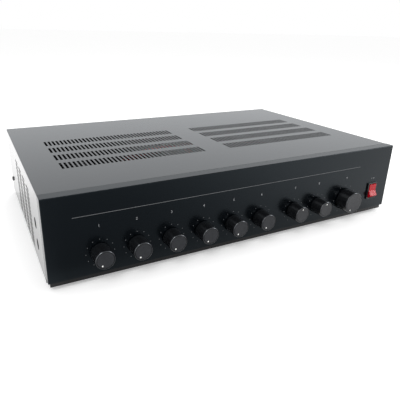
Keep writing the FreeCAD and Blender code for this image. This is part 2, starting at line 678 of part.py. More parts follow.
def make_feet():
    """Rubber feet with a recess for their screws."""
    feet = []
    for place in FEET:
        solid = cone("z", ("foot_radius", "foot_radius + foot_flare"), ("0", BASE), place)
        recess = rod("z", "foot_recess", ("0 - 1", "foot_height - foot_web"), place)
        hole = screw_hole("z", ("foot_height - foot_web", f"{BASE} + 1"), place)
        feet.append(cut(solid, recess, hole))
    finish("rubber_feet", group(*feet))


def make_knob(name, place):
    """A turned knob with a D-shaped bore and a pointer dot, and the shaft that it sits on."""
    radius = "master_radius" if name == "master" else "knob_radius"
    depth = "(knob_reach - knob_gap)"
    body = new_body("Turned")
    profile = [
        ("0", "0"), (f"{radius} - knob_taper", "0"), (radius, depth), ("knob_recess", depth),
        ("knob_recess", f"{depth} - knob_recess_depth"), ("0", f"{depth} - knob_recess_depth"),
    ]
    turned = body.newObject("PartDesign::Revolution", "Turned")
    turned.Profile = outline(body, "XY_Plane", profile)
    turned.ReferenceAxis = (turned.Profile[0], ["V_Axis"])
    turned.Angle = 360
    soften(body, turned, "knob_rim", lambda edge: lies(edge, y="0") and edge.Length > 1)
    shaft_end = ("shaft_cover", f"{depth} - knob_recess_depth")
    flat = block(around("0", "shaft_radius + 1"), shaft_end, ("shaft_flat", "shaft_radius + 1"))
    bore = cut(rod("y", "shaft_radius + shaft_play", (shaft_end[0], f"{depth}"), ("0", "0")),
               block(around("0", "shaft_radius + 1"), shaft_end, ("shaft_flat + shaft_play", "shaft_radius + 1")))
    dot = rod("y", "dot_radius", ("0 - 1", "dot_depth"), ("0", f"{radius} - dot_inset"))
    knob = finish(f"{name}_knob", cut(body, bore, dot))
    end = f"knob_reach + {SUB_REAR} + shaft_seat"
    bar = rod("y", "shaft_radius", ("shaft_cover + shaft_play", end), ("0", "0"))
    shaft = finish(f"{name}_shaft", cut(bar, flat))
    turn = 0 if name in TONES else size("minimum_turn")
    for piece in (knob, shaft):
        piece.Placement = FreeCAD.Placement(VECTOR(), FreeCAD.Rotation(VECTOR(0, 1, 0), turn))
        bind(piece, (place, behind("0 - knob_reach"), above("knob_height")))


def make_controls():
    """The nine controls behind the front panel, with their nuts and circuit board."""
    cases, nuts = [], []
    for name, place in CONTROLS:
        make_knob(name, place)
        across = (place, above("knob_height"))
        case = block(around(place, "pot_width / 2"), (behind(SUB_REAR), behind(POT_REAR)),
                     around(above("knob_height"), "pot_width / 2"))
        bushing = rod("y", "bushing_radius", (behind("0 - bushing_reach"), behind(SUB_REAR)), across)
        bore = rod("y", "shaft_radius + shaft_play",
                   (behind("0 - bushing_reach - 1"), behind(f"{SUB_REAR} + shaft_seat + sheet_gap")), across)
        cases.append(cut(join(case, bushing), bore))
        span = (behind(f"{SUB_FRONT} - pot_nut_depth"), behind(SUB_FRONT))
        nuts.append(cut(hexagon("y", "pot_nut_radius", span, across),
                        rod("y", "bushing_radius + screw_play / 2", span, across)))
    finish("control_cases", group(*cases))
    finish("control_nuts", group(*nuts))
    board = block((f"{RIBBON} - board_rim", "master_place + pot_width"),
                  (behind(f"{POT_REAR} + board_gap"), behind(f"{POT_REAR} + board_gap + board_wall")),
                  (above("control_board_low"), above("control_board_high")))
    finish("control_board", board)


def make_power_switch():
    """A rocker switch: housing with its bezel, rocker on stub axles, and connection blades."""
    height = above("switch_height")
    bezel = block(around(SWITCH, "bezel_width / 2"), (behind("0 - bezel_depth"), FACE),
                  around(height, "bezel_height / 2"))
    case = block(around(SWITCH, "switch_width / 2"), (FACE, behind("switch_depth")),
                 around(height, "switch_tall / 2"))
    well = block(around(SWITCH, "well_width / 2"), (behind("0 - bezel_depth - 1"), behind("well_depth")),
                 around(height, "well_tall / 2"))
    axle_hole = rod("x", "axle_radius + axle_play", around(SWITCH, "axle_reach + axle_play"),
                    (behind("rocker_pivot"), height))
    finish("switch_housing", cut(cut(join(bezel, case), well), axle_hole))

    half = "(well_width / 2 - rocker_play)"
    drum = rod("x", "rocker_radius", around("0", half), ("0", "0"))
    back = block(around("0", f"{half} + 1"), ("rocker_back", "rocker_radius + 1"), around("0", "rocker_radius + 1"))
    end = "sqrt(rocker_radius ^ 2 - rocker_crest ^ 2)"
    body = new_body("Front")
    beyond = "(0 - rocker_radius - 1)"
    hollow = [
        (beyond, f"0 - {end}"), ("0 - rocker_crest", f"0 - {end}"), ("rocker_dip - rocker_crest", "0"),
        ("0 - rocker_crest", end), (beyond, end),
    ]
    pad(body, "YZ_Plane", hollow, "well_width + 2", "0 - well_width / 2 - 1")
    ends = [block(around("0", f"{half} + 1"), (beyond, "0 - rocker_crest"), span)
            for span in ((f"0 - rocker_radius - 1", f"0 - {end}"), (end, "rocker_radius + 1"))]
    axle = rod("x", "axle_radius", around("0", "axle_reach"), ("0", "0"))
    rocker = finish("switch_rocker", join(cut(drum, back, body, *ends), axle))
    rocker.Placement = FreeCAD.Placement(VECTOR(), FreeCAD.Rotation(VECTOR(1, 0, 0), -size("rocker_lean")))
    bind(rocker, (SWITCH, behind("rocker_pivot"), height))

    blades = [
        block(around(f"{SWITCH} {side} switch_width / 4", "plate_wall / 2"),
              (behind("switch_depth"), behind("switch_depth + blade_length")),
              around(f"{height} {level} switch_tall / 4", "terminal_pitch / 4"))
        for side in "-+" for level in "-+"
    ]
    finish("switch_blades", group(*blades))


def make_transformers():
    """Two transformers, each a stack of E and I sheets with a winding on its middle limb and a strap."""
    straps = []
    for name, unit, stack, place, depth in TRANSFORMERS:
        deep = around(depth, f"{stack} / 2")
        core = block(around(place, f"3 * {unit}"), deep, (FLOOR, f"{FLOOR} + 5 * {unit}"))
        windows = [
            block(span, around(depth, f"{stack} / 2 + 1"), (f"{FLOOR} + {unit}", f"{FLOOR} + 4 * {unit}"))
            for span in ((f"{place} - 2 * {unit}", f"{place} - {unit}"), (f"{place} + {unit}", f"{place} + 2 * {unit}"))
        ]
        finish(f"{name}_core", cut(core, *windows))
        tall = (f"{FLOOR} + {unit} + coil_gap", f"{FLOOR} + 4 * {unit} - coil_gap")
        coil = block(around(place, f"2 * {unit} - coil_gap"), around(depth, f"{stack} / 2 + {unit} - coil_gap"), tall)
        limb = block(around(place, f"{unit} + coil_gap"), around(depth, f"{stack} / 2 + coil_gap"), tall)
        finish(f"{name}_winding", cut(coil, limb))
        side = f"3 * {unit} + sheet_gap"
        crown = f"({FLOOR} + 5 * {unit} + sheet_gap)"
        deep = around(depth, "strap_width / 2")
        arch = block(around(place, f"{side} + strap_wall"), deep, (FLOOR, f"{crown} + strap_wall"))
        under = block(around(place, side), around(depth, "strap_width / 2 + 1"), (BASE, crown))
        feet = [
            block(span, deep, (FLOOR, f"{FLOOR} + strap_wall"))
            for span in ((f"{place} - ({side} + strap_wall + strap_foot)", f"{place} - ({side} + strap_wall)"),
                         (f"{place} + ({side} + strap_wall)", f"{place} + ({side} + strap_wall + strap_foot)"))
        ]
        holes = [screw_hole("z", (BASE, f"{FLOOR} + strap_wall + 1"), spot)
                 for spot in STRAP_SCREWS if spot[1] == depth]
        straps.append(cut(join(cut(arch, under), *feet), *holes))
    finish("transformer_straps", group(*straps))


def make_heat_sink():
    """An extruded heat sink with upright fins, and the output transistors on its flat face."""
    body = new_body("Sink")
    base = rectangle(("0 - sink_base", "0"), ("0", "sink_length"))
    pad(body, "XY_Plane", base, "sink_height")
    blade = rectangle(("0 - sink_base - fin_reach", "0 - sink_base"), ("0", "fin_wall"))
    fin = pad(body, "XY_Plane", blade, "sink_height")
    document.recompute()
    fins = body.newObject("PartDesign::LinearPattern", "Fins")
    fins.Originals = [fin]
    fins.Direction = (origin(body, "Y_Axis"), [""])
    fins.Mode = "Extent"
    fins.setExpression("Length", tied("sink_length - fin_wall"))
    fins.setExpression("Occurrences", tied("fin_count"))
    body.Tip = fins
    finish("heat_sink", bind(body, (SINK_FACE, behind("sink_front"), FLOOR)))
    devices = []
    for number in range(count("device_count")):
        middle = behind(f"device_first + {number} * device_pitch + device_width / 2")
        case = block((SINK_FACE, f"{SINK_FACE} + device_wall"), around(middle, "device_width / 2"),
                     (above("device_up"), above("device_up + device_tall")))
        legs = [
            block(around(f"{SINK_FACE} + device_wall / 2", "lead_wall / 2"),
                  around(f"{middle} + ({way}) * device_width / 3", "lead_wall / 2"),
                  (above(BOARD_TOP), above("device_up")))
            for way in (-1, 0, 1)
        ]
        devices.append(join(case, *legs))
    finish("output_transistors", group(*devices))


def make_power_board():
    """The power board with its large parts, its standoffs and its screws."""
    deep = (behind("power_board_front"), behind("power_board_front + power_board_deep"))
    board = block((f"{SINK_FACE} + sheet_gap", "power_board_side"), deep, (above("power_board_up"), above(BOARD_TOP)))
    through = (above("power_board_up - 1"), above(f"{BOARD_TOP} + 1"))
    finish("power_board", cut(board, *(screw_hole("z", through, place) for place in BOARD_STANDS)))
    body = new_body("Can")
    can = body.newObject("PartDesign::Revolution", "Can")
    can.Profile = outline(body, "XZ_Plane", rectangle(("0", "capacitor_radius"), ("0", "capacitor_tall")))
    can.ReferenceAxis = (can.Profile[0], ["V_Axis"])
    can.Angle = 360
    soften(body, can, "capacitor_round", lambda edge: lies(edge, z="capacitor_tall") and edge.Length > 1)
    bind(body, ("capacitor_place", behind("capacitor_first"), above(BOARD_TOP)))
    other = document.addObject("Part::Mirroring", "OtherCan")
    other.Source = body
    other.Normal = VECTOR(0, 1, 0)
    for letter, text in zip("xyz", ("0", behind("capacitor_first + capacitor_pitch / 2"), "0")):
        other.setExpression(f"Base.{letter}", tied(text))
    finish("main_capacitors", group(body, other))
    finish("output_relay", block(around("relay_place", "relay_wide / 2"),
                                 around(behind("relay_back"), "relay_deep / 2"),
                                 (above(BOARD_TOP), above(f"{BOARD_TOP} + relay_tall"))))
    finish("bridge_rectifier", block(around("relay_place", "relay_wide / 2"),
                                     around(behind("rectifier_back"), "rectifier_wall / 2"),
                                     (above(BOARD_TOP), above(f"{BOARD_TOP} + device_tall"))))


def make_fixings():
    """Board standoffs, and all the small screws of the feet, cover, boards and straps."""
    standoffs = []
    screws = [screw("z", -1, "foot_height - foot_web", place) for place in FEET]
    across = (ahead("cover_screw_in"), above("cover_screw_low"))
    screws += [screw("x", 1, HALF, across), screw("x", -1, f"0 - {HALF}", across)]
    screws += [screw("z", 1, f"{FLOOR} + strap_wall", place, "strap_screw") for place in STRAP_SCREWS]
    for places, underside in ((BOARD_STANDS, above("power_board_up")),
                              (INPUT_STANDS, above(f"{JACK_FLOOR} - board_wall"))):
        for place in places:
            post = rod("z", "standoff_radius", (FLOOR, underside), place)
            standoffs.append(cut(post, screw_hole("z", (f"{underside} - screw_length - 1", underside), place)))
            screws.append(screw("z", 1, f"{underside} + board_wall", place))
    finish("board_standoffs", group(*standoffs))
    finish("small_screws", group(*screws))


def make_inputs():
    """Microphone jacks and line sockets on the rear panel, and their circuit board."""
    jacks, nuts = [], []
    for place in JACKS:
        across = (place, above("jack_height"))
        case = block(around(place, "jack_body / 2"), (ahead("rear_wall + jack_deep"), ahead("rear_wall")),
                     around(above("jack_height"), "jack_body / 2"))
        bushing = rod("y", "jack_bushing", (ahead("rear_wall"), ahead("0 - jack_reach")), across)
        bore = rod("y", "jack_bore", (ahead("jack_deep - rear_wall"), ahead("0 - jack_reach - 1")), across)
        jacks.append(cut(join(case, bushing), bore))
        span = (BACK, ahead("0 - jack_nut_depth"))
        nuts.append(cut(hexagon("y", "jack_nut_radius", span, across),
                        rod("y", "jack_bushing + screw_play / 2", span, across)))
    finish("microphone_jacks", group(*jacks))
    finish("jack_nuts", group(*nuts))

    middle = "(line_pitch / 2 - line_place)"
    case = block(around(middle, "line_block / 2"), (ahead("rear_wall + line_block_deep"), ahead("rear_wall")),
                 (above(JACK_FLOOR), above(f"{JACK_FLOOR} + line_block")))
    inserts, barrels = [], []
    for place in LINES:
        span = (ahead("rear_wall"), ahead("0 - barrel_reach"))
        core = "barrel_radius - barrel_wall"
        insert = rod("y", f"{core} - screw_play / 2", (span[0], ahead("barrel_wall - barrel_reach")), place)
        bore = rod("y", "line_bore", (ahead("line_bore_depth - barrel_reach"), ahead("0 - barrel_reach - 1")), place)
        inserts.append(cut(insert, bore))
        barrels.append(cut(rod("y", "barrel_radius", span, place), rod("y", core, span, place)))
    finish("line_socket_block", group(case, *inserts))
    finish("line_socket_barrels", group(*barrels))

    under = (above(f"{JACK_FLOOR} - board_wall"), above(JACK_FLOOR))
    board = block((f"{JACKS[0]} - jack_body / 2", f"{middle} + line_block / 2"),
                  (ahead("rear_wall + input_board_deep"), ahead("rear_wall + board_gap")), under)
    holes = [screw_hole("z", (f"{under[0]} - 1", f"{under[1]} + 1"), place) for place in INPUT_STANDS]
    finish("input_board", cut(board, *holes))


def terminal_span(inset):
    """The speaker terminal block along X, made shorter at each end by an inset."""
    low = "terminal_place - terminal_pitch / 2 - barrier_wall / 2"
    high = "terminal_place + (terminal_count - 0.5) * terminal_pitch + barrier_wall / 2"
    return f"{low} + ({inset})", f"{high} - ({inset})"


def make_speaker_terminals():
    """A barrier strip: base, walls between the terminals, and a plate and a screw for each."""
    height = above("terminal_height")
    tall = around(height, "terminal_tall / 2")
    base = block(terminal_span("0"), (BACK, ahead("0 - terminal_base")), tall)
    tail = block(terminal_span("terminal_pitch / 4 + sheet_gap"), (ahead("terminal_tail"), BACK),
                 around(height, "terminal_tall / 4 - sheet_gap"))
    walls, holes, plates, screws = [], [], [], []
    terminals = count("terminal_count")
    deep = (ahead("0 - terminal_base"), ahead("0 - rear_reach"))
    for number in range(terminals + 1):
        middle = f"terminal_place + ({number} - 0.5) * terminal_pitch"
        walls.append(block(around(middle, "barrier_wall / 2"), deep, tall))
    for number in range(terminals):
        across = (f"terminal_place + {number} * terminal_pitch", height)
        seat = ahead("0 - terminal_base - plate_wall")
        holes.append(screw_hole("y", (ahead("terminal_tail - 1"), ahead("0 - terminal_base - 1")), across))
        plate = block(around(across[0], "(terminal_pitch - barrier_wall) / 2 - screw_play"),
                      (ahead("0 - terminal_base"), seat), around(height, "terminal_tall / 2 - barrier_wall"))
        plates.append(cut(plate, screw_hole("y", (BACK, ahead("0 - rear_reach")), across)))
        screws.append(screw("y", 1, seat, across, "(screw_length + terminal_base / 2)"))
    finish("speaker_terminal_block", cut(join(base, tail, *walls), *holes))
    finish("terminal_plates", group(*plates))
    finish("terminal_screws", group(*screws))


def make_mains_inlet():
    """A mains inlet: flange, case, a cavity with two cut corners, and three flat pins."""
    height = above("inlet_height")
    flange = block(around(INLET, "inlet_width / 2"), (BACK, ahead("0 - inlet_flange")),
                   around(height, "inlet_tall / 2"))
    case = block(around(INLET, "inlet_body_width / 2"), (ahead("inlet_deep"), BACK),
                 around(height, "inlet_body_tall / 2"))
    wide, tall = "socket_width / 2", "socket_tall / 2"
    mouth = [
        (f"0 - {wide}", f"0 - {tall}"), (wide, f"0 - {tall}"), (wide, f"{tall} - socket_corner"),
        (f"{wide} - socket_corner", tall), (f"socket_corner - {wide}", tall),
        (f"0 - {wide}", f"{tall} - socket_corner"),
    ]
    body = new_body("Cavity")
    pad(body, "XZ_Plane", mouth, "socket_deep + inlet_flange + 1", reversed_way=True)
    bind(body, (INLET, ahead("socket_deep"), height))
    pins, slots = [], []
    for way in (-1, 0, 1):
        across = around(f"{INLET} + ({way}) * pin_pitch", "pin_width / 2")
        level = f"{height} {'+' if way == 0 else '-'} pin_drop"
        span = (ahead("inlet_deep + blade_length"), ahead("socket_deep - pin_length"))
        pins.append(block(across, span, around(level, "pin_tall / 2")))
        slots.append(block(across, (ahead("inlet_deep + 1"), ahead("socket_deep - 1")), around(level, "pin_tall / 2")))
    finish("mains_inlet", cut(cut(join(flange, case), body), *slots))
    finish("inlet_pins", group(*pins))


def make_fuse():
    """A fuse holder, its quarter-turn cap and the fuse that the cap carries."""
    across = ("fuse_place", above("fuse_height"))
    case = rod("y", "fuse_body", (ahead("fuse_deep"), BACK), across)
    flange = rod("y", "fuse_flange", (BACK, ahead("0 - fuse_flange_depth")), across)
    bore = rod("y", "fuse_bore", (ahead("fuse_deep - fuse_floor"), ahead("0 - fuse_flange_depth - 1")), across)
    finish("fuse_holder", cut(join(case, flange), bore))
    face = "0 - fuse_flange_depth - sheet_gap"
    head = cone("y", ("fuse_cap_radius", "fuse_cap_radius - knob_taper"),
                (ahead(face), ahead("0 - fuse_cap_reach")), across)
    stem = rod("y", "fuse_bore - shaft_play", (ahead("0"), ahead(face)), across)
    slot = block(around("fuse_place", "coin_slot / 2"),
                 (ahead("coin_slot - fuse_cap_reach"), ahead("0 - fuse_cap_reach - 1")),
                 around(across[1], "fuse_cap_radius + 1"))
    finish("fuse_cap", cut(join(head, stem), slot))
    finish("fuse", rod("y", "fuse_radius", (ahead("fuse_length"), BACK), across))


def make_cables():
    """Wires and a ribbon that stay inside the casing."""
    floor = f"({FLOOR} + ribbon_lift)"
    front = behind(f"{POT_REAR} + board_gap + board_wall")
    rear = f"({ahead('rear_wall + input_board_deep')} + ribbon_stand)"
    low, high = above("control_board_low + ribbon_stand"), above(f"{JACK_FLOOR} - board_wall")
    strip = [
        (front, low), (f"{front} + ribbon_stand + ribbon_wall", low),
        (f"{front} + ribbon_stand + ribbon_wall", floor), (rear, floor), (rear, high),
        (f"{rear} + ribbon_wall", high), (f"{rear} + ribbon_wall", f"{floor} - ribbon_wall"),
        (f"{front} + ribbon_stand", f"{floor} - ribbon_wall"), (f"{front} + ribbon_stand", f"{low} - ribbon_wall"),
        (front, f"{low} - ribbon_wall"),
    ]
    body = new_body("Ribbon")
    pad(body, "YZ_Plane", strip, "ribbon_width", RIBBON)
    finish("ribbon_cable", body)

    board = above(BOARD_TOP)
    winding = ahead("output_rear + output_stack / 2 + output_unit - coil_gap")
    routes = []
    for number in range(count("red_count")):
        shift = f"{number} * red_pitch"
        start = (f"{SINK_FACE} + 13 + {shift}", behind(f"74 - {shift}"))
        routes.append([
            (*start, board), (*start, above("44")),
            (f"{SINK_FACE} + 17 + {shift}", behind(f"82 - {shift}"), above("68")),
            (f"{SINK_FACE} + 33 + {shift}", behind(f"97 - {shift}"), above("77")),
            (f"output_place - 95 + {shift}", f"{winding} - 50 - {shift}", above("77.5")),
            (f"output_place - 53 + {shift}", f"{winding} - 28 - {shift}", above("73")),
            (f"output_place - 23 + {shift}", f"{winding} - 16 - {shift} / 2", above("60")),
            (f"output_place - 13 + {shift}", f"{winding} - 11", above("46")),
            (f"output_place - 11 + {shift}", f"{winding} - 6", above("41")),
            (f"output_place - 11 + {shift}", winding, above("41")),
        ])
    wires("red_output_wires", routes, "red_radius")

    routes = []
    for number, way in enumerate("-+"):
        side = f"{HALF} - mains_lead_in + {number} * mains_lead_pitch"
        blade = (f"{SWITCH} {way} switch_width / 4", above("switch_height - switch_tall / 4"))
        pin = (f"{INLET} {way} pin_pitch", above("inlet_height - pin_drop"))
        low, lower = above(f"6 + {number} / 2"), above(f"9 + {number} / 2")
        routes.append([
            (blade[0], behind("switch_depth + blade_length"), blade[1]),
            (blade[0], behind("switch_depth + blade_length + 12"), blade[1]),
            (f"{side} - 5", behind("52"), above("10")),
            (side, behind("72"), low),
            (f"{side} + 0.6", behind("118"), low),
            (side, ahead("104"), low),
            (f"{side} - 1", ahead("68"), lower),
            (f"{pin[0]} + 10", ahead("50"), above("22")),
            (pin[0], ahead("inlet_deep + blade_length + 12"), pin[1]),
            (pin[0], ahead("inlet_deep + blade_length"), pin[1]),
        ])
    wires("mains_leads", routes, "mains_lead_radius")


make_chassis_pan()
make_front_subpanel()
make_front_panel()
make_top_cover()
make_rear_panel()
make_feet()
make_controls()
make_power_switch()
make_transformers()
make_heat_sink()
make_power_board()
make_fixings()
make_inputs()
make_speaker_terminals()
make_mains_inlet()
make_fuse()
make_cables()
document.recompute()

for thing in document.Objects:
    if {"Invalid", "Error"} & set(thing.State):
        raise RuntimeError(f"{thing.Name} failed: {thing.State}")
for piece in finished:
    if piece.Shape.isNull() or not piece.Shape.isValid() or not piece.Shape.Solids:
        raise RuntimeError(f"{piece.Label} has no valid solid")

os.makedirs("parts", exist_ok=True)
for piece in finished:
    piece.Shape.exportStep(f"parts/{piece.Label}.step")
    box = piece.Shape.BoundBox
    print(f"{piece.Label}: {len(piece.Shape.Solids)} solids, {piece.Shape.Volume:.0f} mm3,",
          f"X {box.XMin:.1f} {box.XMax:.1f}, Y {box.YMin:.1f} {box.YMax:.1f}, Z {box.ZMin:.1f} {box.ZMax:.1f}")
print(len(finished), "sub-parts")
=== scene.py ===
"""The looks of a mixer amplifier: paint, print, knobs, screws and what shows through its slots.

Everything is in metres in the part's own frame: X to the right, Y to the rear, Z up from the floor.
"""

import json
import math

import bmesh
import bpy
import numpy as np
from mathutils import Matrix, Vector


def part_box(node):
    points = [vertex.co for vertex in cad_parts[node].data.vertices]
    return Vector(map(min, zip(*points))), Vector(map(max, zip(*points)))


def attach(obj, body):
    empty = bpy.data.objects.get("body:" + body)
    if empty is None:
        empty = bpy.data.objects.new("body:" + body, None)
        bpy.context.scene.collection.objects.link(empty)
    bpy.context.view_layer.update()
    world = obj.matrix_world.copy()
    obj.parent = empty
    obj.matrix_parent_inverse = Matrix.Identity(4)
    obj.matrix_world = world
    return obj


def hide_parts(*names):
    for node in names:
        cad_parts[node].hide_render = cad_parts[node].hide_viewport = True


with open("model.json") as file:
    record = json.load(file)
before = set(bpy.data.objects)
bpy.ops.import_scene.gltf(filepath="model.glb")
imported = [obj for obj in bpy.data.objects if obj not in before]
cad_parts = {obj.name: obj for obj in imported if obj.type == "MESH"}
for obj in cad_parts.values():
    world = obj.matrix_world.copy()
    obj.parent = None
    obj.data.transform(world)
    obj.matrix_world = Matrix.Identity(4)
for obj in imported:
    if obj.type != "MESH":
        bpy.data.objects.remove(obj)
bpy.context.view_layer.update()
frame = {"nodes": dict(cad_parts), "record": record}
MM = 0.001

# Places read from the solids: the panel's front, the rear panel's back and the panel's right side.
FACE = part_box("front_panel")[0].y
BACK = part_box("rear_panel")[1].y
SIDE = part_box("front_panel")[1].x
CONTROLS = ["input_1", "input_2", "input_3", "input_4", "input_5", "input_6", "bass", "treble", "master"]
CENTRED = ("bass", "treble")


def middle(node):
    """The centre of a node's box."""
    low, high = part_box(node)
    return (low + high) / 2


def solids_of(node):
    """The points of each separate solid in a node: triangles that share a corner share the lowest label."""
    mesh = frame["nodes"][node].data
    flat = np.empty(len(mesh.vertices) * 3)
    mesh.vertices.foreach_get("co", flat)
    mesh.calc_loop_triangles()
    corners = np.empty(len(mesh.loop_triangles) * 3, int)
    mesh.loop_triangles.foreach_get("vertices", corners)
    points, merged = np.unique(flat.reshape(-1, 3).round(7), axis=0, return_inverse=True)
    triangles = merged.reshape(-1)[corners].reshape(-1, 3)
    label = np.arange(len(points))
    while True:
        before = label.copy()
        np.minimum.at(label, triangles, label[triangles].min(axis=1)[:, None])
        label = label[label]
        if (label == before).all():
            break
    return [points[label == one] for one in np.unique(label[triangles])]


# Meshes.
def build(name, parts, body, smooth_under=35.0):
    """A piece from (points, faces) parts, with doubles merged and normals turned outwards.

    Edges sharper than an angle in degrees are kept crisp."""
    points = np.concatenate([np.asarray(part[0], float).reshape(-1, 3) for part in parts])
    faces, first = [], 0
    for verts, polygons in parts:
        faces += [tuple(int(corner) + first for corner in polygon) for polygon in polygons]
        first += len(np.asarray(verts).reshape(-1, 3))
    mesh = bpy.data.meshes.new(name)
    mesh.from_pydata(points.tolist(), [], faces)
    work = bmesh.new()
    work.from_mesh(mesh)
    bmesh.ops.remove_doubles(work, verts=work.verts, dist=1e-7)
    bmesh.ops.dissolve_degenerate(work, edges=work.edges, dist=1e-8)
    bmesh.ops.recalc_face_normals(work, faces=work.faces)
    work.to_mesh(mesh)
    work.free()
    mesh.polygons.foreach_set("use_smooth", [True] * len(mesh.polygons))
    mesh.set_sharp_from_angle(angle=math.radians(smooth_under))
    made = bpy.data.objects.new(name, mesh)
    bpy.context.scene.collection.objects.link(made)
    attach(made, body)
    return made


def lattice(points, round_u=False, round_v=False):
    """Quads between neighbours of a grid of points, joined end to end along a direction that is round."""
    rows, columns = points.shape[:2]
    index = np.arange(rows * columns).reshape(rows, columns)
    if round_u:
        index = np.concatenate([index, index[:1]])
    if round_v:
        index = np.concatenate([index, index[:, :1]], axis=1)
    quads = np.stack([index[:-1, :-1], index[1:, :-1], index[1:, 1:], index[:-1, 1:]], axis=-1).reshape(-1, 4)
    return points.reshape(-1, 3), quads.tolist()


def axes_of(axis):
    """The three unit vectors (across, across, along) for a shape that stands on an axis."""
    along = np.asarray(axis, float)
    first = np.array((0.0, 0.0, 1.0)) if abs(along[2]) < 0.9 else np.array((1.0, 0.0, 0.0))
    return np.cross(first, along), first, along


def turned(profile, centre, axis=(0, 1, 0), steps=64):
    """A profile of (radius, place) carried round an axis: centre + radius (cos a, sin a) across + place along."""
    radius, place = np.asarray(profile, float).T
    angle = np.linspace(0, 2 * np.pi, steps, endpoint=False)
    across, up, along = axes_of(axis)
    ring = np.cos(angle)[:, None] * across + np.sin(angle)[:, None] * up
    points = np.asarray(centre, float) + radius[:, None, None] * ring[None] + place[:, None, None] * along
    return lattice(points, round_v=True)


def rounded(corner, radius, start, stop, steps=6):
    """Points of an arc of a radius round a corner's centre, from one angle to another, in degrees."""
    angle = np.radians(np.linspace(start, stop, steps))
    return np.stack([corner[0] + radius * np.cos(angle), corner[1] + radius * np.sin(angle)], axis=1).tolist()


def slab(outline, low, high, centre, axis=(0, 1, 0)):
    """An outline of (across, up) points carried from low to high along an axis, closed by a face at each end."""
    flat = np.asarray(outline, float)
    across, up, along = axes_of(axis)
    ring = flat[:, :1] * across + flat[:, 1:] * up
    points = np.asarray(centre, float) + ring[None] + np.array((low, high))[:, None, None] * along
    count = len(flat)
    verts, quads = lattice(points, round_v=True)
    return verts, quads + [tuple(range(count)), tuple(range(2 * count - 1, count - 1, -1))]


def cross_screw(radius, height, shank, length, seat, axis):
    """A pan head screw. On a polar grid its head rises height * (1 - 0.45 (r/R)^2), less a cross: two bars,
    each a smooth well 0.32 R wide across and 1.1 R long, whose depth fades with the distance from the middle."""
    angle = np.linspace(0, 2 * np.pi, 48, endpoint=False)
    share = np.concatenate([np.linspace(0, 0.72, 13), [0.82, 0.9, 0.96, 1.0]])
    r = share[:, None] * radius
    x, y = r * np.cos(angle), r * np.sin(angle)
    near, far = np.minimum(abs(x), abs(y)), np.maximum(abs(x), abs(y))
    well = 1 / (1 + np.exp((near / radius - 0.13) * 60)) / (1 + np.exp((far / radius - 0.52) * 40))
    rise = height * (1 - 0.45 * share[:, None] ** 2) - 0.55 * height * well
    across, up, along = axes_of(axis)
    head = np.asarray(seat) + x[..., None] * across + y[..., None] * up + rise[..., None] * along
    edge = [(radius, height * 0.55), (radius, 0.0), (shank, 0.0), (shank, -length + shank * 0.5),
            (shank * 0.5, -length), (0, -length)]
    return [lattice(head, round_v=True), turned(edge, seat, axis, 48)]


# Materials. A wave texture of scale 1 has a phase of 20 radians in each metre.
WAVE_STEP = 20


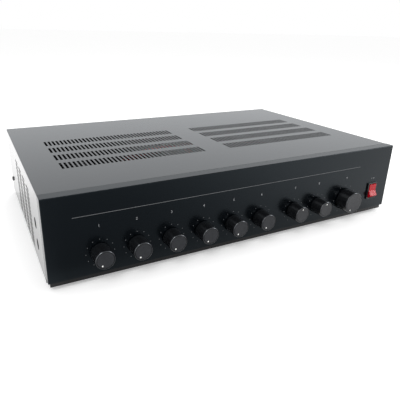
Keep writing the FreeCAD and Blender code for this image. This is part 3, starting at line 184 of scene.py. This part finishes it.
def finish(name, colour, rough, metal=0.0, tone=0.08, patch=90.0, grain=2200.0, depth=0.00002, strength=0.25,
           spread=0.05, bands=None, edge=0.0, rubbed=None, streaks=None, **sockets):
    """A procedural finish: colour and roughness drift over patches, and a fine grain stands up as relief.

    patch and grain are noise scales per metre, and depth is the relief in metres. bands gives (axis, per metre,
    depth) for ridges such as laminations, and streaks gives (along, across, depth) for brush marks that run along X.
    edge is the radius that edges seem rounded to, and the rubbed edge colour is painted in lighter specks along such
    edges, as wear and as a painted highlight on the edges. What else is named goes to the shader's sockets as it is."""
    material = bpy.data.materials.new(name)
    material.use_nodes = True
    nodes, links = material.node_tree.nodes, material.node_tree.links
    shader = nodes["Principled BSDF"]
    shader.inputs["Metallic"].default_value = metal
    for socket, value in sockets.items():
        shader.inputs[socket.replace("_", " ")].default_value = value
    place = nodes.new("ShaderNodeTexCoord").outputs["Object"]
    drift = nodes.new("ShaderNodeTexNoise")
    drift.inputs["Scale"].default_value = patch
    drift.inputs["Detail"].default_value = 4.0
    links.new(place, drift.inputs["Vector"])
    ramp = nodes.new("ShaderNodeValToRGB")
    ramp.color_ramp.elements[0].position, ramp.color_ramp.elements[1].position = 0.3, 0.7
    ramp.color_ramp.elements[0].color = (*(c * (1 - tone) for c in colour), 1)
    ramp.color_ramp.elements[1].color = (*(min(1, c * (1 + tone)) for c in colour), 1)
    links.new(drift.outputs["Fac"], ramp.inputs["Fac"])
    shade = ramp.outputs["Color"]
    wear = nodes.new("ShaderNodeMapRange")
    wear.inputs["To Min"].default_value = max(0.02, rough - spread)
    wear.inputs["To Max"].default_value = min(1.0, rough + spread)
    links.new(drift.outputs["Fac"], wear.inputs["Value"])
    links.new(wear.outputs["Result"], shader.inputs["Roughness"])
    fine = nodes.new("ShaderNodeTexNoise")
    fine.inputs["Scale"].default_value = grain
    fine.inputs["Detail"].default_value = 2.0
    links.new(place, fine.inputs["Vector"])
    relief = nodes.new("ShaderNodeBump")
    normal = relief.outputs["Normal"]
    relief.inputs["Strength"].default_value = strength
    relief.inputs["Distance"].default_value = depth
    links.new(fine.outputs["Fac"], relief.inputs["Height"])
    if edge:
        soft = nodes.new("ShaderNodeBevel")
        soft.samples = 4
        soft.inputs["Radius"].default_value = edge
        links.new(soft.outputs["Normal"], relief.inputs["Normal"])
    if streaks:
        stretch = nodes.new("ShaderNodeMapping")
        stretch.inputs["Scale"].default_value = (streaks[0], streaks[1], streaks[1])
        links.new(place, stretch.inputs["Vector"])
        brush = nodes.new("ShaderNodeTexNoise")
        brush.inputs["Scale"].default_value = 1.0
        brush.inputs["Detail"].default_value = 3.0
        links.new(stretch.outputs["Vector"], brush.inputs["Vector"])
        marks = nodes.new("ShaderNodeBump")
        marks.inputs["Strength"].default_value = 0.5
        marks.inputs["Distance"].default_value = streaks[2]
        links.new(brush.outputs["Fac"], marks.inputs["Height"])
        links.new(relief.outputs["Normal"], marks.inputs["Normal"])
        normal = marks.outputs["Normal"]
    # Lighter specks painted along edges: rubbed wear, and a painted highlight on the edges.
    if rubbed:
        turn = nodes.new("ShaderNodeVectorMath")
        turn.operation = "DOT_PRODUCT"
        links.new(soft.outputs["Normal"], turn.inputs[0])
        links.new(nodes.new("ShaderNodeNewGeometry").outputs["Normal"], turn.inputs[1])
        edge_light_mask = nodes.new("ShaderNodeMapRange")
        edge_light_mask.inputs["From Min"].default_value, edge_light_mask.inputs["From Max"].default_value = 0.97, 0.8
        links.new(turn.outputs["Value"], edge_light_mask.inputs["Value"])
        speck = nodes.new("ShaderNodeMapRange")
        speck.inputs["From Min"].default_value, speck.inputs["From Max"].default_value = 0.5, 0.68
        links.new(fine.outputs["Fac"], speck.inputs["Value"])
        both = nodes.new("ShaderNodeMath")
        both.operation = "MULTIPLY"
        links.new(edge_light_mask.outputs["Result"], both.inputs[0])
        links.new(speck.outputs["Result"], both.inputs[1])
        blend = nodes.new("ShaderNodeMixRGB")
        blend.inputs["Color2"].default_value = (*rubbed, 1)
        links.new(both.outputs["Value"], blend.inputs["Fac"])
        links.new(shade, blend.inputs["Color1"])
        shade = blend.outputs["Color"]
    links.new(shade, shader.inputs["Base Color"])
    if bands:
        ridge = nodes.new("ShaderNodeTexWave")
        ridge.bands_direction = bands[0]
        ridge.inputs["Scale"].default_value = bands[1] / WAVE_STEP * 2 * math.pi
        links.new(place, ridge.inputs["Vector"])
        over = nodes.new("ShaderNodeBump")
        over.inputs["Strength"].default_value = 0.8
        over.inputs["Distance"].default_value = bands[2]
        links.new(ridge.outputs["Fac"], over.inputs["Height"])
        links.new(normal, over.inputs["Normal"])
        normal = over.outputs["Normal"]
    links.new(normal, shader.inputs["Normal"])
    return material


# The paints take lighter specks along their edges: rubbed wear, and a painted edge highlight on the black.
PAINT = dict(grain=1300.0, depth=0.00002, strength=0.06, edge=0.3 * MM, rubbed=(0.045, 0.045, 0.045))
BRIGHT = dict(metal=1.0, edge=0.2 * MM)
FINISHES = {
    "cover_paint": finish("cover_paint", (0.0105, 0.0106, 0.0112), 0.12, tone=0.1, patch=14, spread=0.02,
                          IOR=1.65, Specular_Tint=(0.92, 0.965, 1, 1), grain=1300.0, depth=0.00002, strength=0.06),
    "panel_paint": finish("panel_paint", (0.0008, 0.0014, 0.0022), 0.21, tone=0.1, patch=20, spread=0.02,
                          streaks=(12, 2200, 0.00003), Specular_IOR_Level=0.36,
                          Specular_Tint=(0.74, 0.89, 1, 1), **PAINT),
    "rear_paint": finish("rear_paint", (0.012, 0.012, 0.013), 0.34, tone=0.1, patch=14, **PAINT),
    "chassis_steel": finish("chassis_steel", (0.004, 0.004, 0.0045), 0.2, tone=0.1, patch=14, **PAINT),
    "zinc_steel": finish("zinc_steel", (0.55, 0.54, 0.5), 0.32, tone=0.14, patch=500, grain=3000, spread=0.08,
                         **BRIGHT),
    "screw_steel": finish("screw_steel", (0.1, 0.1, 0.104), 0.3, 0.8, tone=0.2, patch=600, grain=4000),
    "foot_rubber": finish("foot_rubber", (0.018, 0.018, 0.018), 0.78, tone=0.2, patch=240, grain=1800, depth=0.00006,
                          edge=0.5 * MM),
    "knob_plastic": finish("knob_plastic", (0.006, 0.0065, 0.0075), 0.16, tone=0.15, patch=260, grain=2600,
                           depth=0.00001, spread=0.03),
    "shaft_metal": finish("shaft_metal", (0.62, 0.61, 0.58), 0.28, 1.0, bands=("Y", 2500, 0.00002)),
    "control_metal": finish("control_metal", (0.52, 0.52, 0.5), 0.36, tone=0.1, patch=200, **BRIGHT),
    "board_laminate": finish("board_laminate", (0.02, 0.095, 0.045), 0.42, tone=0.3, patch=330, grain=1200,
                             depth=0.00005, Coat_Weight=0.3),
    "switch_plastic": finish("switch_plastic", (0.006, 0.006, 0.007), 0.22, tone=0.15, patch=300, grain=2600,
                             edge=0.4 * MM),
    "red_rocker": finish("red_rocker", (0.42, 0.004, 0.012), 0.26, tone=0.06, patch=180, grain=900, spread=0.03,
                         strength=0.03, edge=0.6 * MM, Specular_IOR_Level=0.3),
    "tinned_brass": finish("tinned_brass", (0.68, 0.66, 0.6), 0.3, tone=0.1, patch=500, **BRIGHT),
    "core_steel": finish("core_steel", (0.24, 0.235, 0.23), 0.42, 0.9, tone=0.2, patch=120,
                         bands=("Y", 2000, 0.00015)),
    "winding_tape": finish("winding_tape", (0.62, 0.42, 0.09), 0.3, tone=0.12, patch=150, grain=900,
                           bands=("Z", 120, 0.00012), edge=1.2 * MM, Coat_Weight=0.4),
    "sink_aluminium": finish("sink_aluminium", (0.03, 0.03, 0.032), 0.4, 0.6, tone=0.15, patch=90,
                             bands=("Y", 1400, 0.00002), edge=0.3 * MM),
    "device_plastic": finish("device_plastic", (0.012, 0.012, 0.012), 0.5, tone=0.2, patch=400, grain=3000,
                             edge=0.2 * MM),
    "capacitor_sleeve": finish("capacitor_sleeve", (0.012, 0.02, 0.05), 0.28, tone=0.15, patch=80, grain=600,
                               edge=0.8 * MM),
    "relay_plastic": finish("relay_plastic", (0.55, 0.54, 0.5), 0.4, tone=0.05, patch=120, edge=0.4 * MM),
    "jack_metal": finish("jack_metal", (0.6, 0.6, 0.58), 0.3, tone=0.1, patch=400, **BRIGHT),
    "nickel": finish("nickel", (0.66, 0.63, 0.58), 0.22, tone=0.08, patch=500, grain=3500, **BRIGHT),
    "socket_plastic": finish("socket_plastic", (0.02, 0.02, 0.021), 0.4, tone=0.2, patch=300, edge=0.3 * MM),
    "terminal_plastic": finish("terminal_plastic", (0.012, 0.012, 0.012), 0.36, tone=0.2, patch=300, edge=0.3 * MM),
    "inlet_plastic": finish("inlet_plastic", (0.012, 0.012, 0.012), 0.34, tone=0.2, patch=300, grain=2400,
                            edge=0.4 * MM),
    "fuse_glass": finish("fuse_glass", (0.7, 0.74, 0.74), 0.08, tone=0.04, patch=200, Transmission_Weight=0.7),
    "ribbon_grey": finish("ribbon_grey", (0.32, 0.33, 0.34), 0.5, tone=0.08, patch=150, bands=("X", 787, 0.0003)),
    "red_insulation": finish("red_insulation", (0.5, 0.012, 0.014), 0.34, tone=0.08, patch=200),
    "brown_insulation": finish("brown_insulation", (0.09, 0.035, 0.016), 0.36, tone=0.1, patch=200),
}
knob_face = finish("knob_face", (0.024, 0.0255, 0.029), 0.22, tone=0.1, patch=260, grain=2600, depth=0.00001)
knob_cut = finish("knob_cut", (0.12, 0.125, 0.135), 0.15, 1.0, tone=0.05, patch=260, grain=2600, depth=0.00001)
print_white = finish("print_white", (0.3, 0.31, 0.32), 0.5, tone=0.1, patch=900, grain=5000)
print_dim = finish("print_dim", (0.14, 0.145, 0.15), 0.5, tone=0.1, patch=900, grain=5000)
dot_white = finish("dot_white", (0.82, 0.82, 0.8), 0.45, tone=0.05, patch=900)
aluminium_top = finish("aluminium_top", (0.75, 0.75, 0.74), 0.3, 1.0, tone=0.06, patch=300)
resistor_tan = finish("resistor_tan", (0.5, 0.36, 0.2), 0.4, tone=0.15, patch=900, grain=4000)

slot_of = {row["node"]: row["material_slot"] for row in frame["record"]["subparts"]}
for node, thing in frame["nodes"].items():
    thing.data.materials.clear()
    thing.data.materials.append(FINISHES[slot_of[node]])


def dress(made, material):
    """Give a new piece its finish."""
    made.data.materials.append(material)
    return made


# Knobs: a tapered skirt, a rounded rim with a bright cut, a faintly dished face and the pointer's dot.
POINTER_START = -150
RIM_CUT = (-66, -42)
CUT_STAND = 0.05 * MM
SKIN = 0.03 * MM


def knob(name):
    """The knob as a turned profile from the middle of its face, over the rim and the skirt, into the hollow back.
    The face is dished by dish * (1 - (r/R)^2)."""
    node, body = f"{name}_knob", f"{name}_control"
    low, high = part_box(node)
    centre = (low + high) / 2
    back, radius, depth = high.y, (high.x - low.x + high.z - low.z) / 4, high.y - low.y
    front = radius - 0.5 * MM
    rim = 1.1 * MM
    dish = 0.45 * MM
    share = np.linspace(0, 0.94, 10)
    face = np.stack([(front - rim) * share, -depth + dish * (1 - share ** 2)], axis=1).tolist()
    rim_centre = (front - rim, -depth + rim)
    profile = face + rounded(rim_centre, rim, -90, 0, 9)
    profile += [(front + 0.12 * MM, -depth * 0.66), (radius - 0.12 * MM, -depth * 0.33)]
    profile += rounded((radius - 0.3 * MM, -0.3 * MM), 0.3 * MM, 0, 90, 4)
    profile += [(5 * MM, 0), (5 * MM, -1.8 * MM), (0, -1.8 * MM)]
    place = (centre.x, back, centre.z)
    made = dress(build(node + "_turned", [turned(profile, place, steps=96)], body),
                 FINISHES["knob_plastic"])
    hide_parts(node)
    cap = [(r, y - SKIN) for r, y in face]
    cap += [(face[-1][0] + 0.15 * MM, -depth + dish * 0.11), (0, -depth + dish + 0.05 * MM)]
    dress(build(node + "_cap", [turned(cap, place, steps=96)], body), knob_face)
    start, stop = RIM_CUT
    cut = rounded(rim_centre, rim + CUT_STAND, start, stop, 4)
    cut += rounded(rim_centre, rim - CUT_STAND, stop, start, 4)
    dress(build(node + "_rim", [turned(cut + cut[:1], place, steps=96)], body), knob_cut)
    turn = math.radians(0 if name in CENTRED else POINTER_START)
    reach = radius - 3.4 * MM
    deep = dish * (1 - (reach / (front - rim)) ** 2)
    seat = (centre.x + reach * math.sin(turn), back - depth + deep + 0.05 * MM, centre.z + reach * math.cos(turn))
    bead = [(0, -0.19 * MM), (0.5 * MM, -0.17 * MM), (0.85 * MM, -0.05 * MM), (0.9 * MM, 0.02 * MM), (0, 0.02 * MM)]
    dress(build(name + "_dot", [turned(bead, seat, steps=24)], body), dot_white)
    return place, radius


knobs = {name: knob(name) for name in CONTROLS}


# Print on the panel: plain numbers, dots of the scales and the long line.
INK = 0.04 * MM
SINK = 0.02 * MM
SIZE_OF_CAPITAL = 1.4
NUMBER_LEVEL = 56.6 * MM
SWITCH_LABEL_LEVEL = 50 * MM
SCALE_DOTS = 11
SCALE_START, SCALE_STEP = -150, 30
LINE_CENTRE, LINE_LEVEL = -14.25 * MM, 68 * MM
LINE_LENGTH, LINE_WIDTH = 342.5 * MM, 0.4 * MM


def words(text, tall, centre, facing=1):
    """Plain characters as thin raised print, upright on a face that looks along -Y.

    The face looks along +Y where facing is -1."""
    curve = bpy.data.curves.new("print", "FONT")
    curve.body, curve.size, curve.extrude = text, tall * SIZE_OF_CAPITAL, 0.03 * MM
    curve.align_x, curve.align_y = "CENTER", "CENTER"
    curve.resolution_u = 4
    holder = bpy.data.objects.new("print", curve)
    bpy.context.scene.collection.objects.link(holder)
    mesh = bpy.data.meshes.new_from_object(holder)
    turn = Matrix.Rotation(math.radians(90), 4, "X")
    if facing < 0:
        turn = Matrix.Rotation(math.radians(180), 4, "Z") @ turn
    mesh.transform(Matrix.Translation(centre) @ turn)
    points = np.array([vertex.co for vertex in mesh.vertices])
    faces = [tuple(polygon.vertices) for polygon in mesh.polygons]
    bpy.data.objects.remove(holder)
    bpy.data.meshes.remove(mesh)
    return points, faces


def spot(x, z, radius):
    """A round dot of print on the panel."""
    return turned([(0, -INK), (radius, -INK), (radius, 0), (0, 0)], (x, FACE, z), steps=12)


def bar(x, z, wide, tall):
    """A straight line of print on the panel."""
    outline = [(-wide / 2, -tall / 2), (wide / 2, -tall / 2), (wide / 2, tall / 2), (-wide / 2, tall / 2)]
    return slab(outline, -INK, 0, (x, FACE, z))


numbers, scales = [], []
for number, name in enumerate(CONTROLS, start=1):
    (x, _, z), radius = knobs[name]
    numbers.append(words(str(number), 2.6 * MM, (x, FACE - SINK, NUMBER_LEVEL)))
    ring = radius + 3.6 * MM
    for step in range(SCALE_DOTS):
        angle = math.radians(SCALE_START + SCALE_STEP * step)
        scales.append(spot(x + ring * math.sin(angle), z + ring * math.cos(angle), 0.38 * MM))
scales.append(bar(LINE_CENTRE, LINE_LEVEL, LINE_LENGTH, LINE_WIDTH))
numbers.append(words("I / O", 2.0 * MM, (middle("switch_housing").x, FACE - SINK, SWITCH_LABEL_LEVEL)))
dress(build("panel_numbers", numbers, "casing"), print_white)
dress(build("panel_scales", scales, "casing"), print_dim)

# Numbers on the rear, in millimetres: over the jacks, beside the line sockets and over the terminals.
JACK_NUMBERS = [(x, 51.5) for x in (-185, -157, -129, -101)]
LINE_NUMBERS = [(-67.5, 55.5), (-67.5, 37.5), (-26.5, 55.5), (-26.5, 37.5)]
TERMINAL_NUMBERS = [(15 + 9.5 * step, 51.5) for step in range(6)]
rear_rows = [(3.2, list(enumerate(JACK_NUMBERS + LINE_NUMBERS, start=1))),
             (2.8, list(enumerate(TERMINAL_NUMBERS, start=1)))]
rear = [words(str(number), tall * MM, (x * MM, BACK + SINK, z * MM), -1)
        for tall, row in rear_rows for number, (x, z) in row]
dress(build("rear_numbers", rear, "casing"), print_white)


# Screws: each solid of a node gives its axis, the way its head points, its seat and its sizes.
def screws(node, piece, material):
    """Cross-head screws in the places of a node's plain ones.

    A screw's axis is the one whose extent differs from the head's width. Its head is where points lie furthest
    from the axis, and the shank is the rest."""
    parts = []
    for points in solids_of(node):
        low, high = points.min(axis=0), points.max(axis=0)
        extent, centre = high - low, (low + high) / 2
        width = np.median(extent)
        axis = int(np.argmax(abs(extent - width)))
        away = np.linalg.norm(np.delete(points - centre, axis, axis=1), axis=1)
        head = points[away > 0.9 * width / 2, axis]
        way = 1.0 if head.mean() > centre[axis] else -1.0
        seat = centre.copy()
        seat[axis] = head.min() if way > 0 else head.max()
        length = extent[axis] - (head.max() - head.min())
        shank = away[away < 0.8 * width / 2].max()
        parts += cross_screw(width / 2, head.max() - head.min(), shank, length, seat, way * np.eye(3)[axis])
    made = dress(build(piece, parts, "casing", 40.0), material)
    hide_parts(node)


screws("small_screws", "small_screws_cross", FINISHES["screw_steel"])
screws("terminal_screws", "terminal_screws_cross", FINISHES["zinc_steel"])

# Capacitor tops: a bright disc inside the rolled end of the sleeve.
DISC = 0.06 * MM
tops = []
for points in solids_of("main_capacitors"):
    low, high = points.min(axis=0), points.max(axis=0)
    centre = (*((low + high) / 2)[:2], high[2])
    radius = (high[0] - low[0]) / 2
    tops.append(turned([(0, DISC), (radius * 0.8, DISC), (radius * 0.86, 0.0), (radius * 0.86, -0.2 * MM),
                        (0, -0.2 * MM)], centre, (0, 0, 1), 48))
dress(build("capacitor_tops", tops, "casing"), aluminium_top)

# Small parts of the power board: cans as (x, y, radius, height) and resistors as (x, y, axis), in millimetres.
board_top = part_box("power_board")[1].z
CANS = [(-92, -56, 4, 11), (-80, -56, 4, 11), (-92, -30, 5, 13), (20, -58, 4, 11), (8, -58, 4, 11),
        (24, -6, 5, 13), (82, -30, 5, 13), (-60, -2, 3.2, 9), (-50, -2, 3.2, 9), (-40, -2, 3.2, 9)]
RESISTORS = [(-70 + 9 * step, -58, "y") for step in range(6)]
RESISTORS += [(-66 + 12 * step, -42, "x") for step in range(5)]
RESISTORS += [(-70 + 9 * step, -26, "y") for step in range(8)]


def can(x, y, radius, tall):
    """A small electrolytic can: a turned sleeve with a crimp near the board and a rolled top."""
    radius, tall = radius * MM, tall * MM
    profile = [(0, 0), (radius * 0.92, 0), (radius, tall * 0.04), (radius, tall * 0.1), (radius * 0.9, tall * 0.13),
               (radius, tall * 0.17), (radius, tall * 0.96), (radius * 0.93, tall), (radius * 0.8, tall * 0.985),
               (0, tall * 0.985)]
    return turned(profile, (x * MM, y * MM, board_top), (0, 0, 1), 32)


def resistor(x, y, along):
    """A resistor that lies along an axis just over the board.

    Its radius is 1.1 mm and swells by 0.25 mm in a bell shape, exp(-((|s| - 0.8) / 0.16)^2), near each end."""
    place = np.linspace(-1, 1, 17)
    swell = (1.1 + 0.25 * np.exp(-((abs(place) - 0.8) / 0.16) ** 2)) * MM
    body = [(0, -3.2 * MM), *zip(swell, place * 3.1 * MM), (0, 3.2 * MM)]
    axis = (1, 0, 0) if along == "x" else (0, 1, 0)
    return turned(body, (x * MM, y * MM, board_top + 1.7 * MM), axis, 20)


dress(build("power_board_cans", [can(*row) for row in CANS], "casing"), FINISHES["capacitor_sleeve"])
dress(build("power_board_resistors", [resistor(*row) for row in RESISTORS], "casing"), resistor_tan)

# Floor: a white sheet.
FLOOR_REACH = 30
floor_mesh = bpy.data.meshes.new("floor")
floor_corners = [(-FLOOR_REACH, -FLOOR_REACH, 0), (FLOOR_REACH, -FLOOR_REACH, 0), (FLOOR_REACH, FLOOR_REACH, 0),
                 (-FLOOR_REACH, FLOOR_REACH, 0)]
floor_mesh.from_pydata(floor_corners, [], [(0, 1, 2, 3)])
floor = bpy.data.objects.new("floor", floor_mesh)
bpy.context.scene.collection.objects.link(floor)


def wire(tree, source, socket):
    """Set a socket to a plain number or colour, or link it to an output."""
    if isinstance(source, bpy.types.NodeSocket):
        tree.links.new(source, socket)
    else:
        socket.default_value = source


def sum_node(tree, operation, *values):
    """A Math node on outputs or plain numbers."""
    made = tree.nodes.new("ShaderNodeMath")
    made.operation = operation
    for socket, value in zip(made.inputs, values):
        wire(tree, value, socket)
    return made.outputs["Value"]


def remap(tree, source, low, high, at_low, at_high, interpolation="LINEAR"):
    """A Map Range node from low..high to at_low..at_high."""
    made = tree.nodes.new("ShaderNodeMapRange")
    made.interpolation_type = interpolation
    wire(tree, source, made.inputs["Value"])
    for socket, value in (("From Min", low), ("From Max", high), ("To Min", at_low), ("To Max", at_high)):
        made.inputs[socket].default_value = value
    return made.outputs["Result"]


def mix(tree, share, first, second):
    """A blend of two colours by a share."""
    made = tree.nodes.new("ShaderNodeMixRGB")
    for socket, value in (("Fac", share), ("Color1", first), ("Color2", second)):
        wire(tree, value, made.inputs[socket])
    return made.outputs["Color"]


paper = bpy.data.materials.new("paper")
paper.use_nodes = True
sheet = paper.node_tree
sheet_shader = sheet.nodes["Principled BSDF"]
sheet_shader.inputs["Roughness"].default_value = 0.9
sheet_shader.inputs["Specular IOR Level"].default_value = 0.0
sheet_shader.inputs["Emission Color"].default_value = (1, 1, 1, 1)
sheet_path = sheet.nodes.new("ShaderNodeLightPath")
in_gloss = sheet_path.outputs["Is Glossy Ray"]
sheet_spot = sheet.nodes.new("ShaderNodeTexCoord").outputs["Object"]
sheet_place = sheet.nodes.new("ShaderNodeSeparateXYZ")
sheet.links.new(sheet_spot, sheet_place.inputs["Vector"])

# Painted shade: in the gloss the floor before the panel's left half is painted dark, so that the panel and the knob
# faces reflect a dim floor there.
away = sheet.nodes.new("ShaderNodeVectorMath")
away.operation = "DISTANCE"
away.inputs[1].default_value = (-0.2, -0.3, 0)
sheet.links.new(sheet_spot, away.inputs[0])
near = remap(sheet, away.outputs["Value"], 0.08, 0.5, 0.8, 0.0, "SMOOTHSTEP")
before = remap(sheet, sheet_place.outputs["Y"], FACE - 0.04, FACE + 0.01, 1.0, 0.0)
painted_shadow_share = sum_node(sheet, "MULTIPLY", sum_node(sheet, "MULTIPLY", near, before), in_gloss)
sheet.links.new(mix(sheet, painted_shadow_share, (0.88, 0.88, 0.88, 1), (0.08, 0.09, 0.1, 1)), sheet_shader.inputs["Base Color"])

# Painted reflection: in the gloss the floor to the left glows, a bright patch for the left side to mirror, and to
# the camera all of it is lifted.
painted_glow_left = remap(sheet, sheet_place.outputs["X"], -SIDE - 0.02, -SIDE + 0.02, 0.5, 0.0)
lift = sum_node(sheet, "MULTIPLY", sheet_path.outputs["Is Camera Ray"], 0.32)
sheet.links.new(sum_node(sheet, "MULTIPLY_ADD", painted_glow_left, in_gloss, lift), sheet_shader.inputs["Emission Strength"])

# From below, the floor is clear, so that the underside can be seen.
clear = sheet.nodes.new("ShaderNodeBsdfTransparent")
either = sheet.nodes.new("ShaderNodeMixShader")
sheet.links.new(sheet.nodes.new("ShaderNodeNewGeometry").outputs["Backfacing"], either.inputs["Fac"])
sheet.links.new(sheet_shader.outputs["BSDF"], either.inputs[1])
sheet.links.new(clear.outputs["BSDF"], either.inputs[2])
sheet.links.new(either.outputs["Shader"], sheet.nodes["Material Output"].inputs["Surface"])
floor_mesh.materials.append(paper)

# World: white to the camera, and in the gloss white near the horizon, dim overhead and slightly cool.
scene = bpy.context.scene
scene.view_settings.view_transform = "Standard"
world = bpy.data.worlds.new("studio")
scene.world = world
world.use_nodes = True
sky = world.node_tree
backdrop = sky.nodes["Background"]
sky_path = sky.nodes.new("ShaderNodeLightPath")
gloss = sky_path.outputs["Is Glossy Ray"]
direction = sky.nodes.new("ShaderNodeSeparateXYZ")
sky.links.new(sky.nodes.new("ShaderNodeTexCoord").outputs["Generated"], direction.inputs["Vector"])
room = remap(sky, direction.outputs["Z"], 0.38, 0.75, 1.0, 0.2, "SMOOTHSTEP")
seen = sum_node(sky, "MAXIMUM", sky_path.outputs["Is Camera Ray"], sky_path.outputs["Is Transmission Ray"])
plain = sum_node(sky, "ADD", sum_node(sky, "MULTIPLY", seen, 0.25), 0.75)
in_room = sum_node(sky, "MULTIPLY", gloss, room)
elsewhere = sum_node(sky, "MULTIPLY", sum_node(sky, "SUBTRACT", 1.0, gloss), plain)
sky.links.new(sum_node(sky, "ADD", in_room, elsewhere), backdrop.inputs["Strength"])
sky.links.new(mix(sky, gloss, (1, 1, 1, 1), (0.95, 0.975, 1, 1)), backdrop.inputs["Color"])


def lamp(name, place, aim, wide, power):
    """A soft square lamp that looks at a point."""
    data = bpy.data.lights.new(name, "AREA")
    data.size, data.energy = wide, power
    made = bpy.data.objects.new(name, data)
    made.location = place
    made.rotation_euler = (Vector(aim) - Vector(place)).to_track_quat("-Z", "Y").to_euler()
    scene.collection.objects.link(made)


lamp("key", (-0.9, -1.2, 1.5), (0, 0, 0.04), 0.9, 14)
lamp("fill", (1.4, -0.6, 1.1), (0, 0, 0.04), 0.9, 5)
lamp("side", (1.32, -1.02, 0.45), (0.18, -0.13, 0.03), 0.3, 2)
lamp("high", (0.15, 0.7, 1.4), (-0.1, -0.1, 0.05), 0.6, 5)


PHOTO_PIXELS = 400
FILM = 36


def photo_camera(place, azimuth, elevation, roll, focal, across, up):
    """The photograph's camera: its place, its view angles in degrees, its focal length and its centre in pixels."""
    a, e, r = math.radians(azimuth), math.radians(elevation), math.radians(roll)
    back = Vector((math.sin(a) * math.cos(e), -math.cos(a) * math.cos(e), math.sin(e)))
    right = Vector((math.cos(a), math.sin(a), 0))
    above = back.cross(right)
    turned_right = right * math.cos(r) + above * math.sin(r)
    turned_up = above * math.cos(r) - right * math.sin(r)
    data = bpy.data.cameras.new("photo")
    data.sensor_width = FILM
    data.lens = focal / PHOTO_PIXELS * FILM
    data.shift_x = (PHOTO_PIXELS / 2 - across) / PHOTO_PIXELS
    data.shift_y = (up - PHOTO_PIXELS / 2) / PHOTO_PIXELS
    data.clip_start, data.clip_end = 0.01, 50
    made = bpy.data.objects.new("photo", data)
    basis = Matrix((turned_right, turned_up, back)).transposed().to_4x4()
    made.matrix_world = Matrix.Translation(place) @ basis
    scene.collection.objects.link(made)
    scene.camera = made


photo_camera((-0.2459, -0.4550, 0.2182), -28.0, 20.6, 1.3, 414, 190, 185)
